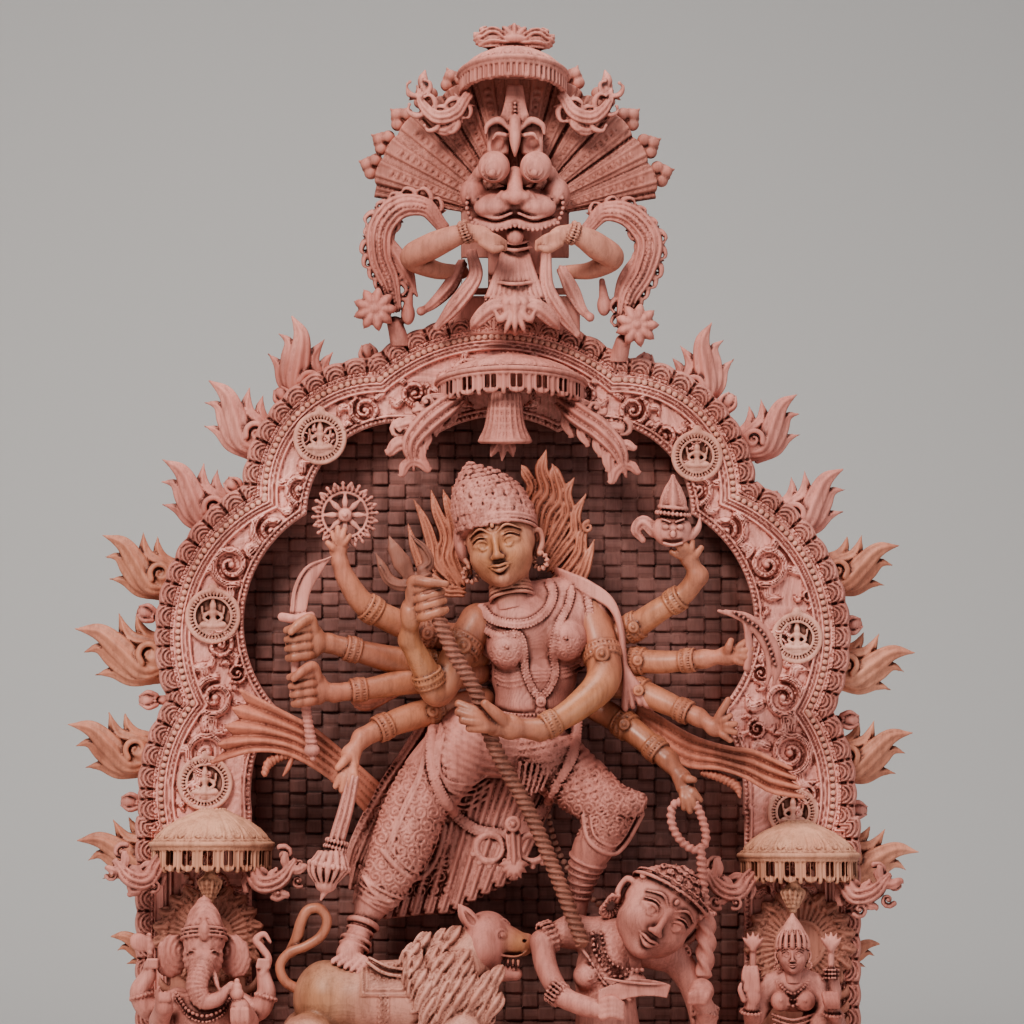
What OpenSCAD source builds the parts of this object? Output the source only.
// A carved wooden shrine figure: a many-armed goddess on a lion, subduing a demon, inside a cusped
// arch that a guardian mask crowns, with a small attendant figure at each side of the foot.
// Millimetres. +Z is up, the front faces -Y, and the origin is the middle of the plinth's underside.

/* [Plinth] */
// Width of the plinth
plinth_w = 760; // [720:10:800]
// Depth of the plinth, front to back
plinth_d = 290; // [270:10:320]
// Height of the plinth, foot to top
plinth_h = 90; // [84:2:96]

/* [Arch] */
// Thickness of the carved arch, front to back
arch_t = 62; // [54:2:70]
// How far the leaf-carved rim reaches outside the bead line
rim_w = 27; // [22:1:30]
// Thickness of the board behind the arch
board_t = 14; // [12:1:18]
// Length of the longest flame finial
flame_l = 84; // [74:2:84]

/* [Canopies] */
// Radius of the canopy over the goddess
canopy_r = 76; // [70:1:80]
// Radius of the canopy over each attendant
side_canopy_r = 59; // [54:1:62]
// Radius of the canopy over the guardian mask
top_canopy_r = 56; // [52:1:58]

/* [Guardian mask] */
// Radius of the fan crest behind the mask
crest_r = 148; // [140:1:150]
// Radius of each bulging eye
eye_r = 17; // [15:1:18]

/* [Goddess] */
// Half width of the head
head_r = 35; // [32:1:37]
// Radius of the trident's shaft
shaft_r = 6.5; // [5.5:0.5:7.5]

/* [Hidden] */

wood_dark = "#6b4038";
wood_rose = "#b0705f";
wood_light = "#c79a78";
wood_polish = "#a8683c";

// Depths: the front faces -Y.
arch_front = -20;
arch_back = arch_front + arch_t;
weave_front = arch_back - 16;
figure_y = -75;
plinth_front = -205;
plinth_back = plinth_front + plinth_d;
plinth_mid = (plinth_front + plinth_back) / 2;
paws = [[-194, -128], [-194, -72], [-38, -128], [-38, -72]];

// The arch's outline is a union of discs: [x, z, radius], one on the axis and three at each side.
arch_foot_z = 400;
lobes = [[0, 717, 176], [122, 741, 110], [172, 598, 147], [194, 442, 140]];
hollows = [[0, 700, 118], [100, 720, 92], [130, 612, 125], [100, 442, 150]];
leg_in = 246;
leg_out = 330;

// Flame finials: [x, z, direction in degrees, share of the longest]. The left side mirrors these.
flames = [
    [188, 842, 65, 0.86], [238, 790, 38, 0.9], [288, 718, 36, 0.94], [331, 655, 26, 0.88],
    [338, 570, 13, 1], [345, 472, 14, 0.92], [340, 385, 2, 0.9], [322, 296, -8, 0.8]
];
// Small buds on the rim between the flames: [x, z, direction].
buds = [
    [132, 871, 70], [220, 829, 45], [262, 750, 40], [318, 690, 35], [347, 615, 12], [346, 515, 5],
    [358, 427, 0]
];
// Medallions: [x, z, radius] at the left and the right.
medallions_at = [
    [-186, 797, 26], [-293, 622, 27], [-303, 448, 27], [191, 780, 25], [291, 597, 25], [289, 428, 25]
];

// Moves what is drawn so that the plinth's middle is at y = 0.
module centred() {
    translate([0, -plinth_mid, 0]) children();
}

module mirrored() {
    children();
    mirror([1, 0, 0]) children();
}

// A 2D outline stood up in the XZ plane, from front_y back to front_y + depth.
module upright(front_y, depth) {
    translate([0, front_y + depth, 0]) rotate([90, 0, 0]) linear_extrude(depth) children();
}

// A pointed leaf along +X: two equal arcs that meet at its ends.
module leaf(length, width) {
    r = (length * length + width * width) / (4 * width);
    intersection() {
        translate([length / 2, r - width / 2]) circle(r, $fn = 96);
        translate([length / 2, width / 2 - r]) circle(r, $fn = 96);
    }
}

module capsule(a, b, ra, rb) {
    hull() {
        translate(a) sphere(ra, $fn = 10);
        translate(b) sphere(rb, $fn = 10);
    }
}

// Capsules along a list of points, with a radius at each.
module limb(points, radii) {
    for (i = [0:len(points) - 2]) capsule(points[i], points[i + 1], radii[i], radii[i + 1]);
}

// An egg shape: three spheres stretched along a line.
module egg(centre, half, r) {
    capsule(centre - half, centre + half, r * 0.8, r * 0.8);
    capsule(centre - half * 0.4, centre + half * 0.4, r, r);
}

// ---- plinth ----

module plinth_slab(inset, z, h) {
    translate([-plinth_w / 2 + inset, plinth_front + inset, z])
        cube([plinth_w - 2 * inset, plinth_d - 2 * inset, h]);
}

module plinth_foot() {
    color(wood_rose) centred() {
        plinth_slab(0, 0, plinth_h * 0.2);
        plinth_slab(6, plinth_h * 0.2, plinth_h * 0.08);
    }
}

module plinth_body() {
    color(wood_rose) centred() plinth_slab(16, plinth_h * 0.28, plinth_h * 0.44);
}

module plinth_cap() {
    color(wood_rose) centred() {
        plinth_slab(8, plinth_h * 0.72, plinth_h * 0.08);
        plinth_slab(2, plinth_h * 0.8, plinth_h * 0.2);
    }
}

// Dowels that pin the arch's legs and the lion to the plinth, hidden inside them.
module assembly_dowels() {
    color(wood_light) centred() {
        for (x = [-296, 296]) translate([x, 12, plinth_h * 0.5]) cylinder(r = 8, h = 70, $fn = 48);
        for (x = [-180, 0, 180])
            translate([x, arch_back + board_t / 2, plinth_h * 0.5]) cylinder(r = 5, h = 60, $fn = 48);
        for (paw = paws) translate([paw[0], paw[1], plinth_h * 0.5]) cylinder(r = 4, h = 52, $fn = 48);
    }
}

// ---- arch ----

// The union of the discs, grown outwards, down to a foot.
module foil(discs, grow, foot, half_width) {
    intersection() {
        union() {
            translate([0, discs[0][1]]) circle(discs[0][2] + grow, $fn = 128);
            for (side = [-1, 1], i = [1:3])
                translate([side * discs[i][0], discs[i][1]]) circle(discs[i][2] + grow, $fn = 128);
            translate([-half_width, foot - 1]) square([2 * half_width, discs[0][1] - foot]);
        }
        translate([-500, foot]) square([1000, 900]);
    }
}

module back_board() {
    color(wood_dark) centred() upright(arch_back, board_t) {
        foil(lobes, -4, arch_foot_z - 1, 200);
        translate([-leg_out, plinth_h]) square([2 * leg_out, arch_foot_z - plinth_h]);
    }
}

module weave_panel() {
    color(wood_dark) centred() upright(weave_front, arch_back - weave_front) {
        foil(hollows, -0.5, arch_foot_z, 170);
        translate([-leg_in + 0.5, plinth_h]) square([2 * leg_in - 1, arch_foot_z - plinth_h]);
    }
}

module arch_frame() {
    color(wood_rose) centred() upright(arch_front, arch_t) difference() {
        foil(lobes, 0, arch_foot_z, 200);
        foil(hollows, 0, arch_foot_z - 5, 170);
        translate([-leg_in, arch_foot_z - 5]) square([2 * leg_in, 60]);
    }
}

module arch_rim() {
    color(wood_rose) centred() upright(arch_front + 4, arch_t - 8) difference() {
        foil(lobes, rim_w, arch_foot_z, 200);
        foil(lobes, 0, arch_foot_z - 5, 200);
    }
}

module arch_beads() {
    color(wood_rose) centred() upright(arch_front - 5, 5) difference() {
        foil(lobes, -1, arch_foot_z, 200);
        foil(lobes, -9, arch_foot_z - 5, 190);
    }
}

module arch_pilasters() {
    color(wood_rose) centred() mirrored() translate([leg_in, arch_front + 6, plinth_h])
        cube([leg_out - leg_in, arch_t - 6, arch_foot_z - plinth_h]);
}

module medallion(at) {
    translate([at[0], arch_front, at[1]]) rotate([90, 0, 0]) difference() {
        cylinder(r = at[2], h = 9, $fn = 72);
        translate([0, 0, 3]) cylinder(r = at[2] - 6, h = 8, $fn = 72);
    }
}

module medallions() {
    color(wood_light) centred() for (at = medallions_at) medallion(at);
}

// One flame finial along +X: a big curved tongue with two smaller ones at each side.
module flame_outline(length) {
    translate([-8, 0]) leaf(length + 8, length * 0.36);
    rotate(24) translate([-6, 2]) leaf(length * 0.84, length * 0.28);
    rotate(-24) translate([-6, -2]) leaf(length * 0.82, length * 0.28);
    rotate(48) translate([-4, 2]) leaf(length * 0.66, length * 0.24);
    rotate(-46) translate([-4, -2]) leaf(length * 0.6, length * 0.24);
}

module flames_right() {
    color(wood_light) centred() for (f = flames)
        translate([f[0], 0, f[1]]) rotate([0, -f[2], 0]) upright(2, 22) flame_outline(flame_l * f[3]);
}

module flames_left() {
    mirror([1, 0, 0]) flames_right();
}

module bud(at) {
    translate([at[0], 12, at[1]]) rotate([0, 90 - at[2], 0]) {
        cylinder(r = 5, h = 16, $fn = 32);
        translate([0, 0, 18]) sphere(8.5, $fn = 32);
    }
}

module rim_buds() {
    color(wood_rose) centred() mirrored() for (at = buds) bud(at);
}

// ---- canopies ----

// The front half of a shallow dome of height h, on a rim that the fringe hangs from, with a crown knob.
module half_dome(r, h, crown) {
    cap_r = (r * r + h * h) / (2 * h);
    intersection() {
        union() {
            translate([0, 0, h - cap_r]) sphere(cap_r, $fn = 128);
            cylinder(r = r + 2, h = 5, $fn = 96);
        }
        translate([-r - 4, -r - 4, 0]) cube([2 * r + 8, r + 8, h + 2]);
    }
    translate([0, -r * 0.18, h - 6]) cylinder(r1 = crown, r2 = crown * 0.5, h = 16, $fn = 48);
}

module half_ring(r, wall, h) {
    difference() {
        cylinder(r = r, h = h, $fn = 96);
        translate([0, 0, -1]) cylinder(r = r - wall, h = h + 2, $fn = 96);
        translate([-r - 1, 4, -1]) cube([2 * r + 2, r + 2, h + 2]);
    }
}

canopy_z = 842;
side_canopy_z = 385;
side_canopy_x = 292;
top_canopy_z = 1138;

module canopy_dome() {
    color(wood_rose) centred() translate([0, arch_front, canopy_z]) half_dome(canopy_r, 34, 12);
}

module canopy_fringe() {
    color(wood_rose) centred() translate([0, arch_front, canopy_z - 22]) half_ring(canopy_r - 2, 5, 22);
}

module canopy_pendant() {
    color(wood_rose) centred() translate([0, arch_front - 34, 782]) {
        cylinder(r1 = 26, r2 = 15, h = 32, $fn = 48);
        translate([0, 0, -9]) cylinder(r1 = 8, r2 = 16, h = 9, $fn = 48);
        translate([0, 0, 32]) cylinder(r = 10, h = 28, $fn = 48);
    }
}

module canopy_scrolls() {
    color(wood_rose) centred() mirrored() upright(arch_front - 30, 36) {
        translate([66, 812]) rotate(-14) leaf(70, 30);
        translate([112, 822]) rotate(-100) leaf(74, 26);
    }
}

module top_canopy() {
    color(wood_rose) centred() translate([0, -24, top_canopy_z]) {
        half_dome(top_canopy_r, 32, 10);
        translate([0, 0, -15]) half_ring(top_canopy_r - 1, 5, 16);
        translate([0, -10, 36]) cylinder(r1 = 9, r2 = 3, h = 24, $fn = 32);
        for (x = [-26, 26]) translate([x, -12, 38]) sphere(9, $fn = 32);
    }
}

module top_canopy_scrolls() {
    color(wood_rose) centred() mirrored() upright(-62, 34) {
        translate([36, 1112]) rotate(20) leaf(64, 34);
        translate([58, 1100]) rotate(58) leaf(48, 24);
    }
}

module side_canopies() {
    color(wood_light) centred() mirrored() translate([side_canopy_x, arch_front - 8, side_canopy_z]) {
        half_dome(side_canopy_r, 40, 14);
        translate([0, 0, -20]) half_ring(side_canopy_r - 2, 5, 20);
    }
}

module side_canopy_scrolls() {
    color(wood_rose) centred() mirrored() upright(arch_front - 52, 44) {
        translate([212, 348]) rotate(26) leaf(56, 26);
        translate([326, 372]) rotate(-26) leaf(58, 26);
    }
}

// ---- guardian mask over the arch ----

mask_z = 1028;
mask_y = -30;

module mask_face() {
    color(wood_rose) centred() {
        egg([0, mask_y - 6, mask_z], [26, 0, 0], 26);
        egg([0, mask_y - 14, mask_z - 14], [24, 0, 0], 18);
        egg([0, mask_y, mask_z + 46], [0, 0, 20], 24);
        for (side = [-1, 1])
            capsule([side * 20, mask_y, mask_z + 20], [side * 40, mask_y + 20, mask_z + 36], 16, 10);
    }
}

module mask_eyes() {
    color(wood_polish) centred() for (side = [-1, 1])
        translate([side * 22.5, mask_y - 28, mask_z + 38]) sphere(eye_r, $fn = 64);
}

// The fan: ribs that spread from behind the mask, each with a rounded end and a bud.
module mask_crest() {
    color(wood_rose) centred() upright(-16, 30) {
        intersection() {
            translate([0, mask_z - 14]) circle(crest_r, $fn = 128);
            translate([-crest_r, mask_z - 8]) square([2 * crest_r, 2 * crest_r]);
        }
        for (side = [-1, 1], rib = [10:11.5:67.5])
            translate([side * crest_r * cos(rib), mask_z - 14 + crest_r * sin(rib)]) circle(11, $fn = 32);
        translate([-62, 905]) square([124, mask_z - 890]);
    }
}

module mask_arms() {
    color(wood_polish) centred() for (side = [-1, 1]) {
        limb(
            [[side * 48, -14, 976], [side * 98, -30, 988], [side * 46, -52, 1004], [side * 18, -58, 992]],
            [14, 15, 9, 8]
        );
        for (i = [0:3]) capsule([side * 20, -58, 996 - 5 * i], [side * 6, -64, 1000 - 5 * i], 4, 3.5);
    }
}

// A scroll at each side: an S of two half rings that ends in a lotus.
module mask_scrolls() {
    color(wood_rose) centred() mirrored() {
        upright(-42, 36) {
            difference() {
                translate([118, 986]) circle(42, $fn = 96);
                translate([108, 978]) circle(19, $fn = 64);
                translate([60, 920]) square([44, 52]);
            }
            translate([100, 990]) square([24, 30]);
            translate([128, 928]) circle(25, $fn = 64);
            translate([112, 900]) square([26, 30]);
        }
        upright(-44, 40) translate([122, 942]) rotate(-150) leaf(50, 20);
    }
}

module mask_pendant() {
    color(wood_rose) centred() {
        translate([0, -52, 918]) cylinder(r1 = 36, r2 = 15, h = 72, $fn = 48);
        mirrored() upright(-56, 34) translate([34, 980]) rotate(-72) leaf(72, 24);
        translate([-50, -50, 902]) cube([100, 60, 18]);
    }
}

// ---- goddess ----

hip = [-22, figure_y, 500];
waist = [8, figure_y - 2, 545];
chest = [20, figure_y - 6, 592];
neck = [14, figure_y - 4, 632];
head_at = [2, figure_y - 18, 688];

module goddess_body() {
    color(wood_rose) centred() {
        limb([hip, waist, chest, neck, head_at], [46, 34, 42, 19, 17]);
        for (x = [-8, 56]) capsule([x, figure_y - 26, 592], [x, figure_y - 36, 590], 25, 22);
        limb([[-48, figure_y, 612], [92, figure_y, 622]], [20, 20]);
        limb(
            [[-40, figure_y - 6, 494], [-98, figure_y - 10, 405], [-128, figure_y - 8, 328],
             [-160, figure_y - 30, 288]],
            [44, 38, 23, 17]
        );
        capsule([-160, figure_y - 30, 288], [-172, figure_y - 48, 276], 16, 11);
        limb(
            [[26, figure_y - 4, 488], [124, figure_y - 30, 438], [78, figure_y - 10, 352],
             [76, figure_y - 6, 300]],
            [42, 34, 22, 18]
        );
        limb([[-60, figure_y + 20, 440], [-20, figure_y + 24, 350]], [40, 20]);
        capsule([-20, figure_y + 20, 440], [0, figure_y + 24, 366], 40, 18);
    }
}

module goddess_head() {
    color(wood_polish) centred() {
        egg(head_at, [-1, 0, 9], head_r);
        capsule(head_at + [0, -24, -20], head_at + [0, -22, -28], 15, 12);
        for (side = [-1, 1]) capsule(head_at + [side * 34, 6, 6], head_at + [side * 36, 8, -22], 7, 9);
        capsule(head_at + [0, -34, 2], head_at + [0, -38, -6], 4, 5);
    }
}

module goddess_crown() {
    color(wood_rose) centred() translate(head_at + [-9, 6, 26]) rotate([-6, -13, 0]) {
        cylinder(r1 = 38, r2 = 34, h = 20, $fn = 64);
        translate([0, 0, 20]) cylinder(r1 = 34, r2 = 14, h = 34, $fn = 64);
    }
}

module goddess_hair_flames() {
    color(wood_rose) centred() {
        upright(figure_y + 12, 18) {
            translate([-44, 680]) rotate(112) leaf(76, 34);
            translate([54, 672]) rotate(78) leaf(118, 40);
        }
        upright(figure_y + 20, 20) translate([5, 696]) circle(64, $fn = 96);
    }
}

module goddess_sashes() {
    color(wood_polish) centred() {
        upright(figure_y + 16, 26) {
            translate([-140, 455]) rotate(150) leaf(160, 62);
            translate([176, 462]) rotate(14) leaf(134, 60);
        }
    }
}

// An arm of the goddess: shoulder, elbow, wrist and palm, with four fingers and a thumb that curl
// from the palm towards fingers_to.
module arm(points, fingers_to) {
    limb(points, [17, 15, 11, 12]);
    palm = points[3];
    away = fingers_to - palm;
    across = cross(away, [0, 1, 0]) / norm(cross(away, [0, 1, 0]));
    for (i = [-1.5:1.5])
        capsule(palm + across * i * 6, fingers_to + across * i * 5, 4.5, 3.5);
    capsule(palm - across * 9, palm - across * 14 + away * 0.6, 4.5, 3.5);
    capsule(points[2] * 1.04 - points[1] * 0.04, points[2] * 0.96 + points[1] * 0.04, 13, 13);
}

module arm_trident() {
    color(wood_polish) centred()
        arm(
            [[-46, -84, 606], [-64, -104, 540], [-100, -128, 590], [-86, -140, 624]],
            [-72, -152, 640]
        );
}
module arm_front_left() {
    color(wood_polish) centred()
        arm(
            [[92, -84, 618], [96, -108, 545], [36, -138, 508], [8, -142, 512]],
            [-26, -144, 526]
        );
}
module arm_discus() {
    color(wood_polish) centred()
        arm(
            [[-56, -58, 600], [-102, -58, 598], [-154, -62, 636], [-166, -66, 664]],
            [-166, -68, 692]
        );
}
module arm_sword() {
    color(wood_polish) centred()
        arm(
            [[-54, -56, 590], [-96, -66, 570], [-172, -78, 590], [-206, -82, 590]],
            [-212, -98, 590]
        );
}
module arm_bow() {
    color(wood_polish) centred()
        arm(
            [[-52, -58, 574], [-92, -66, 548], [-170, -84, 547], [-204, -88, 545]],
            [-212, -104, 545]
        );
}
module arm_mace() {
    color(wood_polish) centred()
        arm(
            [[-50, -62, 560], [-84, -76, 518], [-140, -92, 504], [-155, -96, 472]],
            [-157, -104, 450]
        );
}
module arm_conch() {
    color(wood_polish) centred()
        arm(
            [[96, -58, 610], [124, -62, 598], [172, -70, 640], [184, -74, 664]],
            [176, -78, 688]
        );
}
module arm_shield() {
    color(wood_polish) centred()
        arm(
            [[98, -56, 596], [130, -62, 570], [200, -80, 574], [228, -86, 580]],
            [240, -100, 586]
        );
}
module arm_bowl() {
    color(wood_polish) centred()
        arm(
            [[96, -58, 580], [118, -66, 552], [186, -86, 520], [210, -92, 516]],
            [236, -98, 520]
        );
}
module arm_noose() {
    color(wood_polish) centred()
        arm(
            [[90, -60, 562], [106, -70, 522], [164, -94, 474], [182, -100, 440]],
            [186, -106, 410]
        );
}

// ---- weapons ----

// A straight rod between two points.
module rod(a, b, r) {
    d = b - a;
    translate(a)
        rotate([0, acos(d[2] / norm(d)), atan2(d[1], d[0])])
            cylinder(r = r, h = norm(d), $fn = 48);
}

trident_top = [-88, -154, 646];
trident_foot = [92, -128, 268];

module trident() {
    color(wood_rose) centred() {
        rod(trident_foot, trident_top, shaft_r);
        translate(trident_top) rotate([0, -25, 0]) upright(-5, 10) {
            translate([-12, -2]) square([24, 10]);
            translate([0, 0]) rotate(90) leaf(48, 17);
            for (side = [-1, 1]) difference() {
                translate([side * 11, 18]) circle(18, $fn = 64);
                translate([side * 7, 22]) circle(13, $fn = 64);
                translate([-side * 20 - 10, 0]) square([28, 60]);
            }
        }
    }
}

module discus() {
    color(wood_rose) centred() translate([-164, -70, 724]) rotate([90, 0, 0]) difference() {
        cylinder(r = 31, h = 8, $fn = 72);
        for (i = [0:11]) rotate(i * 30) translate([18, 0, -1]) cylinder(r = 3.4, h = 10, $fn = 32);
    }
}

module sword() {
    color(wood_rose) centred() {
        upright(-94, 8) intersection() {
            difference() {
                translate([-128, 620]) circle(87, $fn = 96);
                translate([-118, 612]) circle(74, $fn = 96);
            }
            translate([-220, 612]) square([68, 98]);
        }
        rod([-209, -90, 560], [-209, -90, 622], 7);
        translate([-209, -90, 614]) cylinder(r = 12, h = 5, $fn = 32);
    }
}

module bow() {
    color(wood_rose) centred() {
        rod([-210, -96, 572], [-204, -96, 520], 6);
        rod([-204, -96, 522], [-166, -88, 462], 4.5);
    }
}

module mace() {
    color(wood_rose) centred() {
        rod([-154, -104, 460], [-174, -104, 362], 8.5);
        translate([-177, -104, 350]) rotate([0, 12, 0]) {
            sphere(22, $fn = 48);
            translate([0, 0, -6]) cylinder(r = 24, h = 12, $fn = 48);
            translate([0, 0, -33]) cylinder(r1 = 5, r2 = 10, h = 16, $fn = 32);
        }
    }
}

module conch() {
    color(wood_rose) centred() translate([174, -84, 700]) {
        cylinder(r1 = 14, r2 = 24, h = 26, $fn = 48);
        translate([0, 0, 26]) cylinder(r1 = 24, r2 = 9, h = 28, $fn = 48);
        translate([0, 0, 54]) cylinder(r1 = 9, r2 = 3, h = 10, $fn = 32);
    }
}

// A round shield seen nearly edge on: a thin bowl that opens towards the hand.
module shield() {
    color(wood_polish) centred() translate([258, -84, 592]) rotate([0, 118, 0]) difference() {
        translate([0, 0, -34]) intersection() {
            sphere(52, $fn = 96);
            translate([-60, -60, 28]) cube([120, 120, 40]);
        }
        translate([0, 0, -42]) sphere(52, $fn = 96);
    }
}

module noose() {
    color(wood_rose) centred() {
        translate([190, -112, 412]) rotate([90, 0, 0])
            rotate_extrude($fn = 64) translate([22, 0]) circle(5, $fn = 32);
        rod([200, -110, 394], [200, -104, 328], 6);
        rod([200, -104, 330], [200, -100, 238], 12);
    }
}

// ---- lion ----

module lion_body() {
    color(wood_polish) centred() {
        limb([[-182, -100, 246], [-90, -96, 252], [-44, -96, 250], [-28, -100, 290]], [40, 35, 46, 36]);
        capsule([-184, -104, 236], [-180, -104, 226], 40, 38);
        for (y = [-128, -72]) {
            limb([[-190, y, 226], [-172, y, 160], [-196, y, 104]], [26, 15, 11]);
            capsule([-196, y, 104], [-180, y - 2, 101], 12, 11);
            limb([[-44, y, 232], [-36, y, 160], [-40, y, 104]], [24, 15, 11]);
            capsule([-40, y, 104], [-22, y - 2, 101], 12, 11);
        }
        capsule([-182, -100, 246], [-30, -96, 240], 34, 34);
    }
}

module lion_head() {
    color(wood_rose) centred() {
        egg([-22, -104, 300], [4, 0, 4], 33);
        capsule([-6, -110, 300], [16, -112, 294], 21, 13);
        capsule([-4, -108, 278], [12, -110, 270], 10, 7);
        capsule([-36, -108, 316], [-42, -104, 336], 9, 4);
        capsule([-34, -80, 316], [-38, -78, 334], 9, 4);
        capsule([-40, -100, 280], [-24, -100, 262], 34, 30);
    }
}

// The tail: a loop that stands up behind the rump.
module lion_tail() {
    color(wood_polish) centred() limb(
        [
            [-214, -100, 240], [-226, -100, 262], [-216, -100, 288], [-194, -100, 302], [-182, -100, 320],
            [-190, -100, 334], [-204, -98, 330], [-210, -96, 312], [-216, -96, 296]
        ],
        [8, 7.5, 7, 7, 7, 7, 7, 7, 6]
    );
}

// ---- demon ----

module demon_body() {
    color(wood_rose) centred() {
        limb([[96, -96, 120], [92, -104, 190], [96, -108, 236], [118, -104, 268]], [38, 34, 36, 18]);
        limb([[84, -100, 262], [28, -118, 284], [48, -140, 246], [80, -152, 222]], [17, 13, 12, 9]);
        limb([[136, -98, 250], [186, -108, 206], [200, -126, 232]], [17, 14, 12]);
        limb([[84, -118, 126], [20, -140, 130], [40, -140, 104]], [28, 22, 14]);
        limb([[110, -110, 122], [176, -130, 136], [176, -138, 104]], [28, 22, 14]);
        for (i = [0:3]) capsule([82, -150, 224 - 5 * i], [112, -160, 228 - 5 * i], 4.5, 4);
        capsule([176, -138, 104], [196, -150, 101], 13, 10);
        capsule([40, -140, 104], [24, -156, 101], 13, 10);
    }
}

module demon_head() {
    color(wood_rose) centred() {
        egg([144, -112, 318], [9, 2, 15], 34);
        capsule([128, -136, 296], [124, -136, 290], 14, 11);
        for (side = [-1, 1])
            capsule([142 + side * 30, -104, 319 - side * 17],
                [143 + side * 32, -106, 308 - side * 17], 9, 9);
        capsule([138, -146, 314], [132, -150, 306], 5, 6);
        capsule([162, -100, 344], [184, -92, 322], 26, 18);
        capsule([126, -100, 262], [134, -108, 286], 19, 18);
    }
}

module demon_blade() {
    color(wood_polish) centred() upright(-178, 12) difference() {
        translate([110, 188]) circle(74, $fn = 96);
        translate([112, 150]) circle(96, $fn = 96);
        translate([40, 100]) square([40, 200]);
    }
}

// ---- attendants ----

attendant_x = 296;
attendant_y = -84;

// A cross-legged body on a round seat, shared by both attendants.
module seated_body(x, lap_r) {
    for (side = [-1, 1]) {
        limb(
            [[x + side * 14, attendant_y, 142], [x + side * 54, attendant_y - 26, 138],
             [x + side * 6, attendant_y - 50, 134]],
            [22, 17, 11]
        );
        capsule([x + side * 6, attendant_y - 50, 134], [x - side * 12, attendant_y - 54, 132], 10, 8);
    }
    limb([[x, attendant_y, 150], [x, attendant_y - 4, 190], [x, attendant_y, 232]], [34, lap_r, 22]);
}

module seat(x) {
    translate([x, attendant_y - 14, plinth_h]) cylinder(r = 62, h = 16, $fn = 24);
    translate([x, attendant_y - 14, plinth_h + 16]) cylinder(r1 = 54, r2 = 60, h = 14, $fn = 24);
}

module elephant_attendant() {
    color(wood_rose) centred() {
        seat(-attendant_x);
        seated_body(-attendant_x, 38);
        egg([-attendant_x - 4, attendant_y - 10, 276], [0, 0, 8], 30);
        limb(
            [
                [-attendant_x - 4, attendant_y - 38, 266], [-attendant_x - 6, attendant_y - 50, 240],
                [-attendant_x + 4, attendant_y - 52, 224], [-attendant_x + 22, attendant_y - 50, 230]
            ],
            [13, 11, 10, 8]
        );
        for (side = [-1, 1]) {
            capsule([-attendant_x + side * 32, attendant_y, 290],
                [-attendant_x + side * 44, attendant_y + 2, 268], 18, 12);
            limb(
                [[-attendant_x + side * 32, attendant_y, 226],
                 [-attendant_x + side * 62, attendant_y - 8, 210],
                 [-attendant_x + side * 56, attendant_y - 14, 262]],
                [12, 11, 9]
            );
            limb(
                [[-attendant_x + side * 30, attendant_y - 10, 220],
                 [-attendant_x + side * 52, attendant_y - 24, 190],
                 [-attendant_x + side * 36, attendant_y - 52, 208]],
                [12, 11, 9]
            );
        }
        capsule([-attendant_x, attendant_y - 4, 300], [-attendant_x, attendant_y, 334], 20, 8);
    }
}

module lady_attendant() {
    color(wood_rose) centred() {
        seat(attendant_x);
        seated_body(attendant_x, 26);
        egg([attendant_x - 8, attendant_y - 8, 272], [0, 0, 7], 20);
        capsule([attendant_x - 4, attendant_y - 4, 250], [attendant_x, attendant_y, 236], 9, 11);
        capsule([attendant_x - 8, attendant_y - 4, 288], [attendant_x - 8, attendant_y, 322], 20, 7);
        for (side = [-1, 1]) {
            limb(
                [[attendant_x + side * 26, attendant_y, 230],
                 [attendant_x + side * 44, attendant_y - 8, 200],
                 [attendant_x + side * 40, attendant_y - 40, 232]],
                [11, 10, 8]
            );
            limb(
                [[attendant_x + side * 24, attendant_y + 4, 226],
                 [attendant_x + side * 52, attendant_y + 2, 222],
                 [attendant_x + side * 48, attendant_y - 4, 286]],
                [10, 9, 7]
            );
        }
    }
}

// A slab behind each attendant with a halo and leaves at its outer edge.
module attendant_backs() {
    color(wood_rose) centred() mirrored() upright(arch_front - 16, 22) {
        translate([leg_in + 2, plinth_h]) square([leg_out - leg_in - 4, 170]);
        translate([attendant_x, 290]) circle(46, $fn = 96);
    }
}

plinth_foot();
plinth_body();
plinth_cap();
assembly_dowels();
back_board();
weave_panel();
arch_frame();
arch_rim();
arch_beads();
arch_pilasters();
medallions();
flames_left();
flames_right();
rim_buds();
canopy_dome();
canopy_fringe();
canopy_pendant();
canopy_scrolls();
mask_face();
mask_eyes();
mask_crest();
mask_arms();
mask_scrolls();
mask_pendant();
top_canopy();
top_canopy_scrolls();
goddess_body();
goddess_head();
goddess_crown();
goddess_hair_flames();
goddess_sashes();
arm_trident();
arm_front_left();
arm_discus();
arm_sword();
arm_bow();
arm_mace();
arm_conch();
arm_shield();
arm_bowl();
arm_noose();
trident();
discus();
sword();
bow();
mace();
conch();
shield();
noose();
lion_body();
lion_head();
lion_tail();
demon_body();
demon_head();
demon_blade();
elephant_attendant();
lady_attendant();
attendant_backs();
side_canopies();
side_canopy_scrolls();
